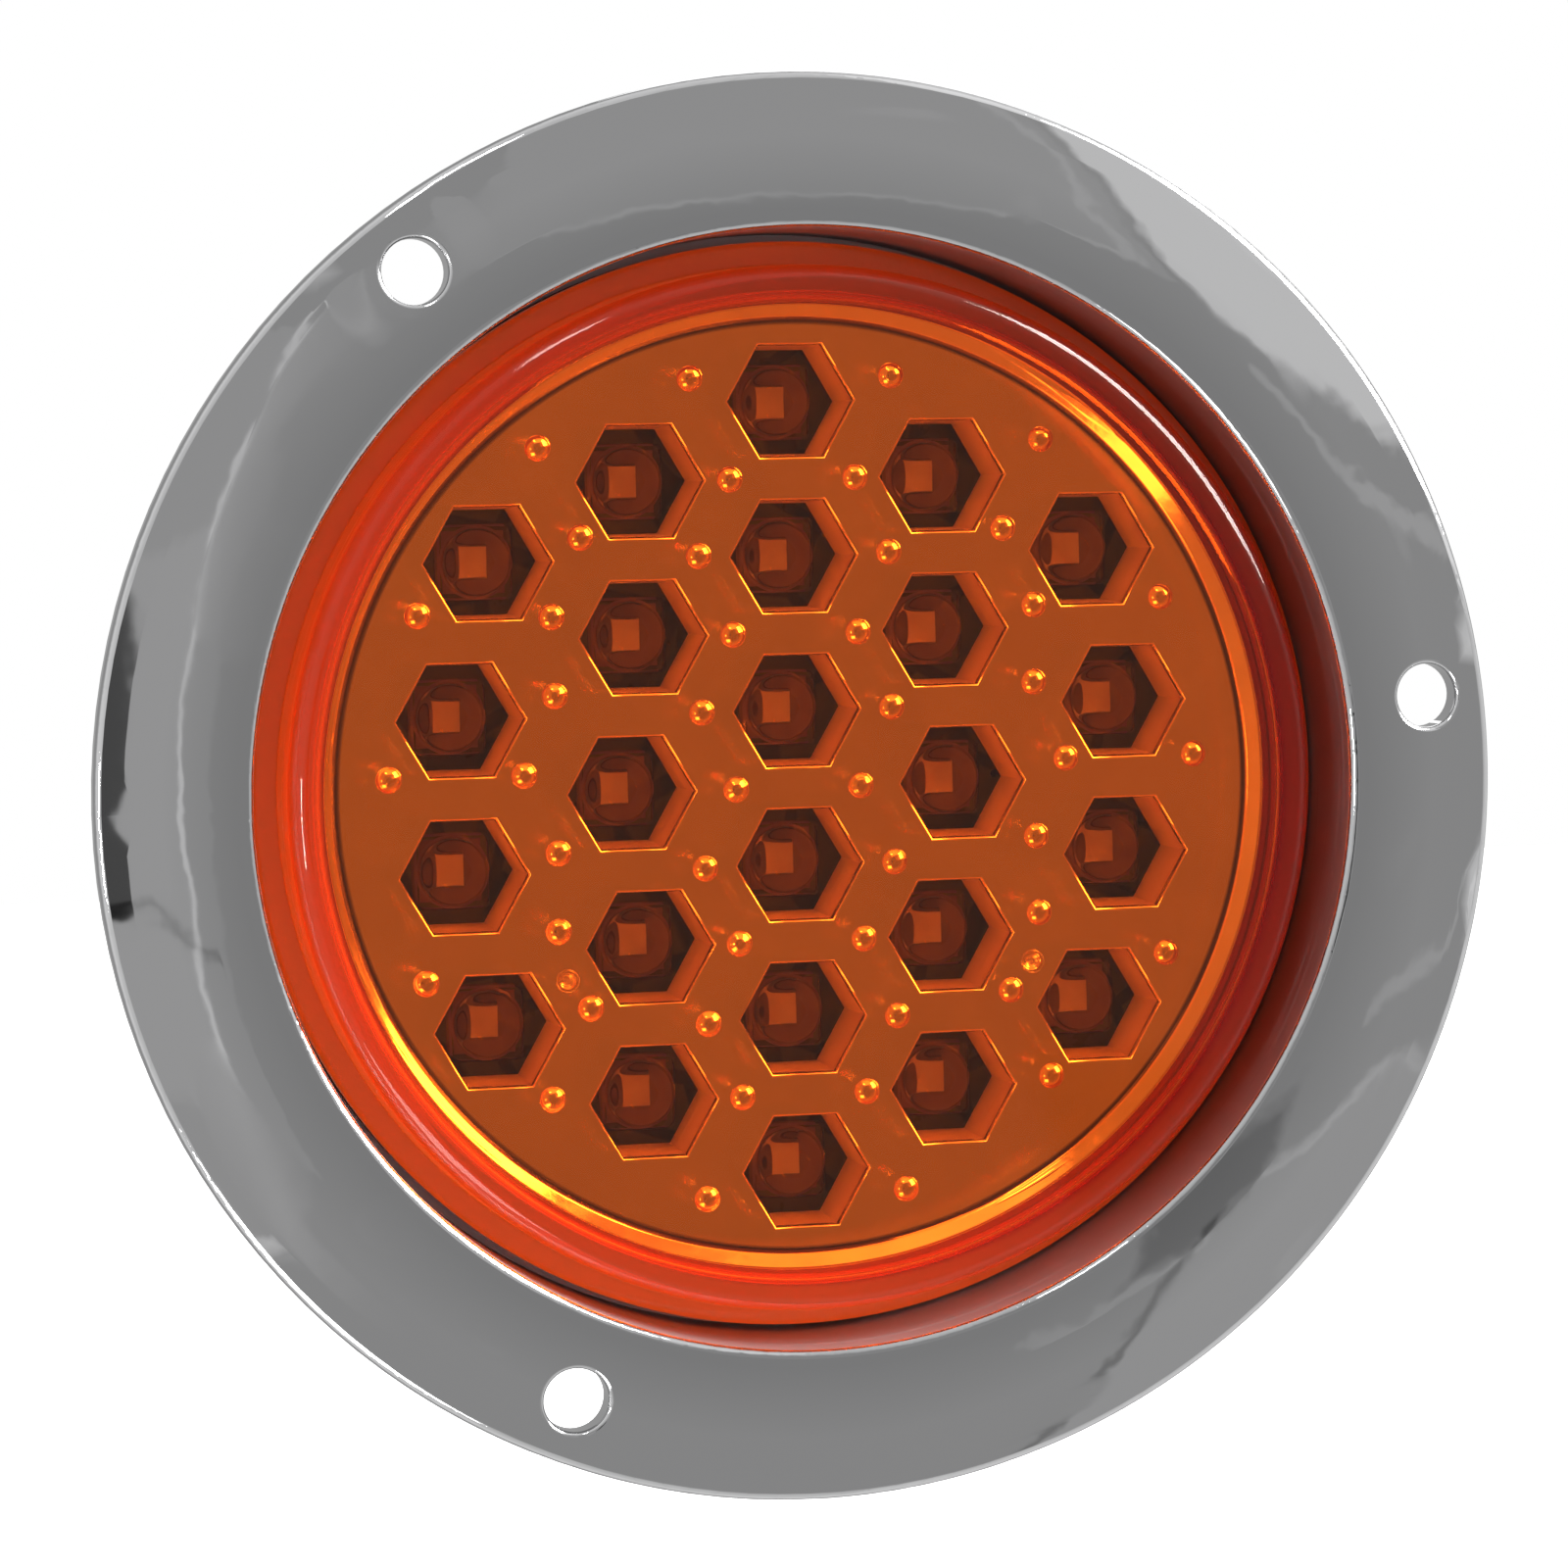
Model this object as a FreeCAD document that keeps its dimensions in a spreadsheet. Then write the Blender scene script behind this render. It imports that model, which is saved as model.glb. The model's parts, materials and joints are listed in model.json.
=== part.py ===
"""Round flange-mount LED lamp for a trailer, millimetres.

The lamp faces -Y and +Z is up. The origin is the centre of the flange's flat back,
which lies against the vehicle, so a larger Y is deeper inside the vehicle.
"""

import FreeCAD, Part
import math
import os
import re

import Sketcher

doc = FreeCAD.newDocument("trailer_light")

SIZES = {
    # chrome flange with its sleeve
    "flange_radius": 69.85,
    "flange_outer_front": 2.3,
    "flange_inner_front": 3.45,
    "flange_crown": 0.26,
    "rim_round": 0.85,
    "lip_round": 0.8,
    "sleeve_bore_radius": 54.8,
    "sleeve_radius": 56.4,
    "sleeve_floor": 13.4,
    "sleeve_end": 15.4,
    "floor_bore_radius": 50.0,
    "screw_circle_radius": 63.5,
    "screw_hole_radius": 3.175,
    "screw_hole_round": 0.45,
    "screw_first_angle": 6.8,
    # amber lens cup
    "lens_front": 2.2,
    "lens_thickness": 2.5,
    "lens_front_radius": 51.2,
    "lens_wall_radius": 51.45,
    "lens_inner_radius": 48.8,
    "lens_corner": 2.0,
    "lens_inner_corner": 1.6,
    "ledge_front": 6.6,
    "ledge_back": 9.6,
    "ledge_radius": 53.85,
    "ledge_round": 0.5,
    # metallised reflector
    "reflector_face": 5.2,
    "reflector_face_radius": 46.4,
    "bevel_radius": 47.9,
    "bevel_depth": 1.5,
    "plate_thickness": 1.3,
    "skirt_wall": 1.1,
    "well_flats": 10.9,
    "well_back_flats": 10.3,
    "well_chamfer": 0.25,
    "well_wall": 1.0,
    "well_back": 12.8,
    "dome_ball_radius": 1.7,
    "dome_height": 0.6,
    "post_radius": 1.6,
    "post_across": 23.6,
    "post_below": 18.2,
    "post_stake_radius": 1.0,
    "post_stake_end": 18.4,
    "dimple_ball_radius": 1.3,
    "dimple_set_back": 0.5,
    # light emitting diodes and their circuit board
    "led_pitch": 15.24,
    "led_body": 7.6,
    "led_body_height": 2.8,
    "led_dome_radius": 3.35,
    "led_dome_rise": 3.0,
    "frame_side": 6.2,
    "frame_thickness": 0.5,
    "pad_width": 1.8,
    "pad_height": 2.05,
    "pad_rise": 0.8,
    "leg_pitch": 5.08,
    "leg_side": 0.5,
    "leg_hole_radius": 0.45,
    "leg_end": 18.8,
    "board_front": 15.8,
    "board_back": 17.4,
    "board_radius": 46.8,
    "board_screw_circle": 43.3,
    "screw_head_radius": 2.5,
    "screw_head_front": 14.3,
    "screw_shank_radius": 1.1,
    "screw_tip": 22.8,
    "pilot_end": 23.4,
    "recess_width": 0.7,
    "recess_length": 3.0,
    "recess_depth": 0.8,
    "board_screw_first_angle": 50.0,
    # parts on the back of the board
    "wire_radius": 0.3,
    "wire_reach": 1.9,
    "wire_end": 16.1,
    "wire_hole_radius": 0.4,
    "resistor_radius": 1.25,
    "resistor_length": 6.3,
    "diode_radius": 1.35,
    "diode_length": 5.2,
    "suppressor_radius": 2.4,
    "suppressor_length": 8.0,
    "capacitor_radius": 3.15,
    "capacitor_height": 5.4,
    "capacitor_base": 6.6,
    "capacitor_base_height": 0.8,
    # rear housing
    "housing_inner_radius": 47.2,
    "housing_can_radius": 49.5,
    "housing_flange_back": 12.4,
    "housing_floor": 24.7,
    "housing_back": 27.2,
    "housing_back_radius": 47.0,
    "housing_round": 1.5,
    "spigot_radius": 13.4,
    "boss_radius": 3.2,
    "rib_width": 1.4,
    "rib_height": 1.6,
    "rib_inner": 18.5,
    "rib_outer": 43.0,
    "groove_radius": 48.6,
    "groove_end": 17.0,
    "ring_radius": 52.4,
    "ring_gap": 14.0,
    # rear connector
    "receptacle_radius": 16.0,
    "receptacle_bore_radius": 12.5,
    "receptacle_seat": 28.0,
    "receptacle_bottom": 29.2,
    "receptacle_end": 39.7,
    "keyway_width": 3.0,
    "keyway_radius": 14.2,
    "terminal_radius": 2.0,
    "terminal_circle": 6.5,
    "terminal_tip": 37.4,
    "terminal_tail_radius": 0.8,
    "terminal_tail_end": 16.0,
}

sheet = doc.addObject("Spreadsheet::Sheet", "Dims")
for row, (alias, value) in enumerate(SIZES.items(), start=1):
    sheet.set(f"A{row}", alias)
    sheet.set(f"B{row}", str(value))
    sheet.setAlias(f"B{row}", alias)
doc.recompute()

TO_BACK = FreeCAD.Rotation(FreeCAD.Vector(1, 0, 0), -90)
TO_FRONT = FreeCAD.Rotation(FreeCAD.Vector(1, 0, 0), 90)
UPRIGHT = FreeCAD.Rotation()

subparts = []


def dim(text):
    """An expression written in plain aliases, with each alias pointed at the sheet."""
    return re.sub(r"[a-z_]+", lambda w: f"Dims.{w[0]}" if w[0] in SIZES else w[0], text)


def number(text):
    """What an expression comes to."""
    return float(sheet.evalExpression(dim(text)))


def subpart(shape_object, label):
    """Gives a finished piece the label that names its file."""
    shape_object.Label = label
    subparts.append(shape_object)
    return shape_object


def primitive(kind, at=("0", "0", "0"), turn=UPRIGHT, **sizes):
    """A Part primitive whose sizes and place are expressions."""
    made = doc.addObject(f"Part::{kind}", kind)
    for name, text in sizes.items():
        made.setExpression(name, dim(text))
    made.Placement = FreeCAD.Placement(FreeCAD.Vector(), turn)
    for axis, text in zip("xyz", at):
        made.setExpression(f"Placement.Base.{axis}", dim(text))
    return made


def rod(radius, start, end, x="0", z="0"):
    """A cylinder along Y from start to end."""
    length = f"({end}) - ({start})"
    return primitive("Cylinder", (x, start, z), TO_BACK, Radius=radius, Height=length)


def block(width, height, start, end, x="0", z="0"):
    """A box centred on x and z, from start to end along Y."""
    corner = (f"({x}) - ({width}) / 2", start, f"({z}) - ({height}) / 2")
    return primitive("Box", corner, Length=width, Width=f"({end}) - ({start})", Height=height)


def joined(pieces):
    """One fused object from several."""
    made = doc.addObject("Part::MultiFuse", "Fuse")
    made.Shapes = pieces
    return made


def grouped(pieces):
    """One object that keeps its pieces as separate solids."""
    made = doc.addObject("Part::Compound", "Group")
    made.Links = pieces
    return made


def cut(base, tool):
    """base with tool taken away."""
    made = doc.addObject("Part::Cut", "Cut")
    made.Base = base
    made.Tool = tool
    return made


def origin_feature(body, role):
    """The plane or axis of a body's own origin that has this role."""
    return next(f for f in body.Origin.OriginFeatures if f.Role == role)


def new_sketch(body, role):
    """A sketch on one of the body's origin planes."""
    sketch = body.newObject("Sketcher::SketchObject", "Sketch")
    sketch.AttachmentSupport = [(origin_feature(body, role), "")]
    sketch.MapMode = "FlatFace"
    return sketch


def pin_point(sketch, geometry, end, x, y):
    """Holds one point of a sketch at x and y, which are expressions."""
    for kind, text in (("DistanceX", x), ("DistanceY", y)):
        if text == "0":
            axis = -2 if kind == "DistanceX" else -1
            sketch.addConstraint(Sketcher.Constraint("PointOnObject", geometry, end, axis))
            continue
        value = number(text)
        index = sketch.addConstraint(Sketcher.Constraint(kind, -1, 1, geometry, end, value))
        sketch.setExpression(f"Constraints[{index}]", dim(text))


def spot(x, y):
    """A sketch point from two expressions."""
    return FreeCAD.Vector(number(x), number(y), 0)


def outline(sketch, points, crown=None):
    """A closed outline through points given as expressions, anticlockwise.

    Edges are straight, except that the first one is an arc if crown names a point on it.
    """
    count = len(points)
    for i in range(count):
        start, end = spot(*points[i]), spot(*points[(i + 1) % count])
        bowed = crown and i == 0
        edge = Part.Arc(start, spot(*crown), end) if bowed else Part.LineSegment(start, end)
        sketch.addGeometry(edge)
    for i in range(count):
        sketch.addConstraint(Sketcher.Constraint("Coincident", i, 2, (i + 1) % count, 1))
    for i, (x, y) in enumerate(points):
        pin_point(sketch, i, 1, x, y)
    if crown:
        top = sketch.addGeometry(Part.Point(spot(*crown)), True)
        sketch.addConstraint(Sketcher.Constraint("PointOnObject", top, 1, 0))
        pin_point(sketch, top, 1, *crown)


def turned(label, points, crown=None, angle=360):
    """A body revolved about Y from an outline of (radius, depth) points."""
    body = doc.addObject("PartDesign::Body", "Body")
    sketch = new_sketch(body, "XY_Plane")
    outline(sketch, points, crown)
    made = body.newObject("PartDesign::Revolution", "Revolution")
    made.Profile = sketch
    made.ReferenceAxis = (sketch, ["V_Axis"])
    made.Midplane = True
    made.Angle = angle
    subpart(body, label)
    doc.recompute()
    return body


def ring_edges(body, rings):
    """Names of the full circular edges about Y at the given (radius, depth) places."""
    names = []
    for number, edge in enumerate(body.Tip.Shape.Edges, start=1):
        if not isinstance(edge.Curve, Part.Circle) or len(edge.Vertexes) != 1:
            continue
        for radius, depth in rings:
            near = abs(edge.Curve.Radius - radius) + abs(edge.Curve.Center.y - depth)
            if near < 0.02:
                names.append(f"Edge{number}")
    return names


def soften(body, size, edges):
    """Rounds the named edges of the body's last feature."""
    base = body.Tip
    made = body.newObject("PartDesign::Fillet", "Fillet")
    made.Base = (base, edges)
    made.setExpression("Radius", dim(size))
    body.Tip = made
    doc.recompute()


def rounded(body, size, rings):
    """Rounds the body's circular edges at rings, places given as expressions."""
    places = [(number(radius), number(depth)) for radius, depth in rings]
    soften(body, size, ring_edges(body, places))


def sketch_at(body, depth):
    """A sketch that faces the front, with its x along X and its y along Z, at a depth."""
    sketch = new_sketch(body, "XZ_Plane")
    sketch.setExpression("AttachmentOffset.Base.z", dim(f"-({depth})"))
    return sketch


def circles(body, depth, spots):
    """A sketch of circles at a depth, each given as (x, z, radius)."""
    sketch = sketch_at(body, depth)
    for i, (x, z, radius) in enumerate(spots):
        sketch.addGeometry(Part.Circle(spot(x, z), FreeCAD.Vector(0, 0, 1), number(radius)))
        pin_point(sketch, i, 3, x, z)
        index = sketch.addConstraint(Sketcher.Constraint("Radius", i, number(radius)))
        sketch.setExpression(f"Constraints[{index}]", dim(radius))
    return sketch


def rectangle(body, depth, low, high):
    """A sketch of one rectangle at a depth, from its low corner to its high one."""
    sketch = sketch_at(body, depth)
    outline(sketch, [low, (high[0], low[1]), high, (low[0], high[1])])
    return sketch


def feature(body, kind, sketch, length, copies=1):
    """A Pad towards the front or a Pocket towards the back, repeated evenly about Y."""
    before = body.Tip.Shape.Volume
    made = body.newObject(f"PartDesign::{kind}", kind)
    made.Profile = sketch
    made.setExpression("Length", dim(length))
    body.Tip = made
    if copies > 1:
        pattern = body.newObject("PartDesign::PolarPattern", "PolarPattern")
        pattern.Originals = [made]
        pattern.Axis = (origin_feature(body, "Y_Axis"), [""])
        pattern.Angle = 360
        pattern.Occurrences = copies
        body.Tip = pattern
    doc.recompute()
    gained = body.Tip.Shape.Volume - before
    if (gained > 0) != (kind == "Pad") or abs(gained) < 0.01:
        raise ValueError(f"{body.Label}: the {kind} changed the volume by {gained:.3f}")


def polar(radius, angle):
    """The x and z of a place at a radius and an angle in degrees from +X."""
    return f"{radius} * cos({angle})", f"{radius} * sin({angle})"


# Where things stand on the face, as (columns, rows) in units of led_pitch.
QUARTER_SITES = [(0, 0.5), (0, 1.5), (0, 2.5), (1, 1), (1, 2), (1.1, 0), (2, 1.5), (2.2, 0.5)]
QUARTER_DOMES = [(0.63, 0.505), (0.63, 1.513), (0.665, 2.653), (0.415, 0), (0.415, 1), (0.415, 2)]
QUARTER_DOMES += [(2.465, 1.175)]
SIDE_DOMES = [(1.8, 0.135), (2.675, 0.135)]
SIDE_DOMES += [(column, 0.135 + row * side) for column, row in
               [(1.59, 0.505), (1.6, 1.01), (1.4, 1.513), (1.665, 2.09)] for side in (1, -1)]


def mirrored(places, both_ways=True):
    """Every different place that left-right, and up-down if both_ways, copies give."""
    signs = (1, -1) if both_ways else (1,)
    found = {(column * side, row * end) for column, row in places for side in (1, -1) for end in signs}
    found = {(column + 0, row + 0) for column, row in found}
    return sorted(found, key=lambda place: (-place[1], place[0]))


def on_grid(place):
    """The x and z expressions of a place in units of led_pitch."""
    return tuple(f"{units:g} * led_pitch" for units in place)


LED_SITES = [on_grid(place) for place in mirrored(QUARTER_SITES)]
DOMES = [on_grid(place) for place in mirrored(QUARTER_DOMES) + mirrored(SIDE_DOMES, False)]
POSTS = [("post_across", "-post_below"), ("-post_across", "-post_below")]
SCREWS = [polar("board_screw_circle", f"board_screw_first_angle + {a}") for a in (0, 80, 180, 260)]
LEG_SIDES = ("leg_pitch / 2", "-leg_pitch / 2")
LEG_OFFSETS = [(x, z) for x in LEG_SIDES for z in LEG_SIDES]


def make_flange():
    flange = turned(
        "chrome_flange",
        [
            ("sleeve_bore_radius", "-flange_inner_front"),
            ("flange_radius", "-flange_outer_front"),
            ("flange_radius", "0"),
            ("sleeve_radius", "0"),
            ("sleeve_radius", "sleeve_end"),
            ("floor_bore_radius", "sleeve_end"),
            ("floor_bore_radius", "sleeve_floor"),
            ("sleeve_bore_radius", "sleeve_floor"),
        ],
        crown=(
            "(sleeve_bore_radius + flange_radius) / 2",
            "-(flange_inner_front + flange_outer_front) / 2 - flange_crown",
        ),
    )
    rounded(flange, "rim_round", [("flange_radius", "-flange_outer_front")])
    rounded(flange, "lip_round", [("sleeve_bore_radius", "-flange_inner_front")])
    hole = (*polar("screw_circle_radius", "screw_first_angle"), "screw_hole_radius")
    sketch = circles(flange, "-2 * flange_inner_front", [hole])
    feature(flange, "Pocket", sketch, "3 * flange_inner_front", copies=3)
    mouths = [
        f"Edge{n}"
        for n, edge in enumerate(flange.Tip.Shape.Edges, start=1)
        if edge.CenterOfMass.y < -2 and edge.Length < 4 * math.pi * SIZES["screw_hole_radius"]
        and edge.BoundBox.YLength < 1
    ]
    soften(flange, "screw_hole_round", mouths)


def make_lens():
    lens = turned(
        "lens",
        [
            ("0", "-lens_front"),
            ("lens_front_radius", "-lens_front"),
            ("lens_wall_radius", "ledge_front"),
            ("ledge_radius", "ledge_front"),
            ("ledge_radius", "ledge_back"),
            ("lens_inner_radius", "ledge_back"),
            ("lens_inner_radius", "lens_thickness - lens_front"),
            ("0", "lens_thickness - lens_front"),
        ],
    )
    rounded(lens, "lens_corner", [("lens_front_radius", "-lens_front")])
    rounded(lens, "lens_inner_corner", [("lens_inner_radius", "lens_thickness - lens_front")])
    rounded(lens, "ledge_round", [("lens_wall_radius", "ledge_front"), ("ledge_radius", "ledge_front")])


def hexagon(flats, depth, site):
    """A hexagon that faces the front, with corners left and right."""
    corner = f"({flats}) / 2 / cos(30)"
    made = primitive("RegularPolygon", (site[0], depth, site[1]), TO_BACK, Circumradius=corner)
    made.Polygon = 6
    return made


def hexagon_block(site, front_flats, front, back_flats, back):
    """A tapered solid between two hexagons."""
    made = doc.addObject("Part::Loft", "Loft")
    made.Sections = [hexagon(front_flats, front, site), hexagon(back_flats, back, site)]
    made.Solid = True
    made.Ruled = True
    return made


def ball(radius, x, depth, z):
    """A sphere, of which only the half towards the front is made."""
    made = primitive("Sphere", (x, depth, z), TO_FRONT, Radius=radius)
    made.Angle1 = 0
    return made


def make_reflector():
    plate = turned(
        "reflector_blank",
        [
            ("0", "reflector_face"),
            ("reflector_face_radius", "reflector_face"),
            ("bevel_radius", "reflector_face + bevel_depth"),
            ("bevel_radius", "ledge_back"),
            ("bevel_radius - skirt_wall", "ledge_back"),
            ("bevel_radius - skirt_wall", "reflector_face + bevel_depth + skirt_wall / 2"),
            ("reflector_face_radius - skirt_wall / 2", "reflector_face + plate_thickness"),
            ("0", "reflector_face + plate_thickness"),
        ],
    )
    subparts.remove(plate)
    behind = "reflector_face + plate_thickness / 2"
    added = [plate]
    taken = []
    for site in LED_SITES:
        wall = "2 * well_wall"
        outer = (f"well_flats + {wall}", behind, f"well_back_flats + {wall}", "well_back")
        added.append(hexagon_block(site, *outer))
        inner = ("well_flats", "reflector_face", "well_back_flats", "well_back")
        taken.append(hexagon_block(site, *inner))
        mouth = ("well_flats + 2 * well_chamfer", "reflector_face")
        throat = ("well_flats - well_chamfer / 2", "reflector_face + 1.25 * well_chamfer")
        taken.append(hexagon_block(site, *mouth, *throat))
    for x, z in DOMES:
        centre = "reflector_face + dome_ball_radius - dome_height"
        added.append(ball("dome_ball_radius", x, centre, z))
    for x, z in POSTS:
        added.append(rod("post_radius", behind, "board_front", x, z))
        added.append(rod("post_stake_radius", "board_front - 1", "post_stake_end", x, z))
        dimple = ("dimple_ball_radius", x, "reflector_face - dimple_set_back", z)
        taken.append(primitive("Sphere", (x, dimple[2], z), Radius=dimple[0]))
    subpart(cut(joined(added), grouped(taken)), "reflector_plate")


BODY_FRONT = "board_front - led_body_height"
FRAME_FRONT = "board_front - frame_thickness"
PAD_FRONT = "board_front - frame_thickness - pad_rise"


def make_led(label, site):
    """The clear moulding of one LED: a square base under a round dome, hollow for its lead frame."""
    x, z = site
    centre = f"{BODY_FRONT} - led_dome_rise + led_dome_radius"
    base = block("led_body", "led_body", BODY_FRONT, "board_front", x, z)
    neck = rod("led_dome_radius", centre, "board_front - led_body_height / 2", x, z)
    dome = ball("led_dome_radius", x, centre, z)
    frame = block("frame_side", "frame_side", FRAME_FRONT, "board_front", x, z)
    pad = block("pad_width", "pad_height", PAD_FRONT, FRAME_FRONT, x, z)
    subpart(cut(joined([base, neck, dome]), joined([frame, pad])), label)


def make_lead_frames():
    """Every LED's metal plate, with its raised pad in front and its legs through the board."""
    frames = []
    for x, z in LED_SITES:
        plate = block("frame_side", "frame_side", FRAME_FRONT, "board_front", x, z)
        pad = block("pad_width", "pad_height", PAD_FRONT, FRAME_FRONT, x, z)
        legs = [
            block("leg_side", "leg_side", "board_front - frame_thickness / 2", "leg_end",
                  f"{x} + {dx}", f"{z} + {dz}")
            for dx, dz in LEG_OFFSETS
        ]
        frames.append(joined([plate, pad] + legs))
    subpart(grouped(frames), "led_lead_frames")


# Wire-ended parts on the back of the board: name, column, row, radius and length.
WIRE_ENDED = [
    (f"resistor_{n}", column, row, "resistor_radius", "resistor_length")
    for n, (column, row) in enumerate(
        [(-0.5, 2.15), (0.5, 2.15), (-0.5, 1.2), (0.5, 1.2), (-0.5, -1.75), (0.5, -1.75)], start=1)
]
WIRE_ENDED += [
    ("diode_1", -1.5, 0.3, "diode_radius", "diode_length"),
    ("diode_2", 1.5, 0.3, "diode_radius", "diode_length"),
    ("surge_suppressor", 1.5, 1.5, "suppressor_radius", "suppressor_length"),
]


def wire_row(row, length):
    """The z of the two holes that a wire-ended part's leads go through."""
    return [f"{row} * led_pitch + {side} * ({length} / 2 + wire_reach)" for side in (1, -1)]


def make_wire_ended(label, column, row, radius, length):
    """A cylinder that lies against the board, with a bent wire at each end."""
    x = f"{column} * led_pitch"
    depth = f"board_back + {radius}"
    low, high = (f"{row} * led_pitch - ({length}) / 2", f"({length})")
    pieces = [primitive("Cylinder", (x, depth, low), Radius=radius, Height=high)]
    ends = wire_row(row, length)
    span = f"{length} + 2 * wire_reach"
    pieces.append(primitive("Cylinder", (x, depth, ends[1]), Radius="wire_radius", Height=span))
    for z in ends:
        pieces.append(rod("wire_radius", "wire_end", depth, x, z))
        pieces.append(primitive("Sphere", (x, depth, z), Radius="wire_radius"))
    subpart(joined(pieces), label)


def make_capacitor():
    """A can on a square base, soldered to the back of the board."""
    x, z = ("-1.5 * led_pitch", "1.5 * led_pitch")
    seat = "board_back + capacitor_base_height"
    base = block("capacitor_base", "capacitor_base", "board_back", seat, x, z)
    can = rod("capacitor_radius", seat, "board_back + capacitor_height", x, z)
    subpart(joined([base, can]), "smoothing_capacitor")


TERMINALS = {"ground_terminal": 90, "turn_terminal": 210, "marker_terminal": 330}


def make_board():
    holes = []
    for x, z in LED_SITES:
        for dx, dz in LEG_OFFSETS:
            holes.append(("leg_hole_radius", f"{x} + {dx}", f"{z} + {dz}"))
    for _, column, row, _, length in WIRE_ENDED:
        for z in wire_row(row, length):
            holes.append(("wire_hole_radius", f"{column} * led_pitch", z))
    holes += [("screw_shank_radius", x, z) for x, z in SCREWS]
    holes += [("post_stake_radius", x, z) for x, z in POSTS]
    for angle in TERMINALS.values():
        holes.append(("terminal_tail_radius", *polar("terminal_circle", angle)))
    tools = [rod(radius, "board_front - 1", "board_back + 1", x, z) for radius, x, z in holes]
    blank = rod("board_radius", "board_front", "board_back")
    subpart(cut(blank, grouped(tools)), "circuit_board")


def make_board_screws():
    """Four pan-head screws with crossed recesses."""
    screws = []
    for x, z in SCREWS:
        head = rod("screw_head_radius", "screw_head_front", "board_front", x, z)
        shank = rod("screw_shank_radius", "board_front", "screw_tip", x, z)
        deep = "screw_head_front + recess_depth"
        upright = block("recess_width", "recess_length", "screw_head_front - 1", deep, x, z)
        level = block("recess_length", "recess_width", "screw_head_front - 1", deep, x, z)
        screws.append(cut(joined([head, shank]), joined([upright, level])))
    subpart(grouped(screws), "board_screws")


def make_housing():
    taper_start = "groove_end + 0.5"
    wall = "(housing_can_radius - housing_inner_radius)"
    housing = turned(
        "housing",
        [
            ("housing_inner_radius", "ledge_back"),
            ("ledge_radius", "ledge_back"),
            ("ledge_radius", "housing_flange_back"),
            ("housing_can_radius", "housing_flange_back"),
            ("housing_can_radius", "sleeve_end"),
            ("groove_radius", "sleeve_end"),
            ("groove_radius", "groove_end"),
            ("housing_can_radius", "groove_end"),
            ("housing_back_radius", "housing_back"),
            ("spigot_radius", "housing_back"),
            ("spigot_radius", "housing_floor"),
            (f"housing_back_radius - {wall}", "housing_floor"),
            ("housing_inner_radius", taper_start),
        ],
    )
    rounded(housing, "housing_round", [("housing_back_radius", "housing_back")])
    pair = SCREWS[:2]
    bosses = circles(housing, "housing_floor + 0.5", [(x, z, "boss_radius") for x, z in pair])
    feature(housing, "Pad", bosses, "housing_floor + 0.5 - board_back", copies=2)
    pilots = circles(housing, "board_back", [(x, z, "screw_shank_radius") for x, z in pair])
    feature(housing, "Pocket", pilots, "pilot_end - board_back", copies=2)
    low, high = (("rib_inner", "-rib_width / 2"), ("rib_outer", "rib_width / 2"))
    rib = rectangle(housing, "housing_back + rib_height", low, high)
    feature(housing, "Pad", rib, "rib_height + 0.2", copies=6)


def make_receptacle():
    receptacle = turned(
        "connector_receptacle",
        [
            ("0", "housing_floor"),
            ("spigot_radius", "housing_floor"),
            ("spigot_radius", "receptacle_seat"),
            ("receptacle_radius", "receptacle_seat"),
            ("receptacle_radius", "receptacle_end"),
            ("receptacle_bore_radius", "receptacle_end"),
            ("receptacle_bore_radius", "receptacle_bottom"),
            ("0", "receptacle_bottom"),
        ],
    )
    place = (*polar("terminal_circle", 90), "terminal_radius")
    holes = circles(receptacle, "housing_floor", [place])
    feature(receptacle, "Pocket", holes, "receptacle_end - housing_floor", copies=3)
    low, high = (("-keyway_width / 2", "0"), ("keyway_width / 2", "keyway_radius"))
    keyway = rectangle(receptacle, "receptacle_bottom", low, high)
    feature(receptacle, "Pocket", keyway, "receptacle_end - receptacle_bottom")


def make_terminal(label, angle):
    """A round contact pin with a bevelled tip, and a thin tail soldered to the board."""
    x, z = polar("terminal_circle", angle)
    tail = rod("terminal_tail_radius", "terminal_tail_end", "housing_floor + 1", x, z)
    pin = rod("terminal_radius", "housing_floor", "terminal_tip - terminal_radius / 2", x, z)
    tip = primitive("Cone", (x, "terminal_tip - terminal_radius / 2", z), TO_BACK,
                    Radius1="terminal_radius", Radius2="terminal_radius / 2", Height="terminal_radius / 2")
    subpart(joined([tail, pin, tip]), label)


def make_rings():
    """The soft ring under the lamp's flange, the snap ring behind it and the connector's seal."""
    turned(
        "seat_gasket",
        [
            ("floor_bore_radius + 0.4", "housing_flange_back"),
            ("ledge_radius", "housing_flange_back"),
            ("ledge_radius", "sleeve_floor"),
            ("floor_bore_radius + 0.4", "sleeve_floor"),
        ],
    )
    turned(
        "retaining_ring",
        [
            ("groove_radius", "sleeve_end"),
            ("ring_radius", "sleeve_end"),
            ("ring_radius", "groove_end - 0.1"),
            ("groove_radius", "groove_end - 0.1"),
        ],
        angle=360 - SIZES["ring_gap"],
    )
    turned(
        "receptacle_seal",
        [
            ("spigot_radius", "housing_back"),
            ("receptacle_radius", "housing_back"),
            ("receptacle_radius", "receptacle_seat"),
            ("spigot_radius", "receptacle_seat"),
        ],
    )


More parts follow.
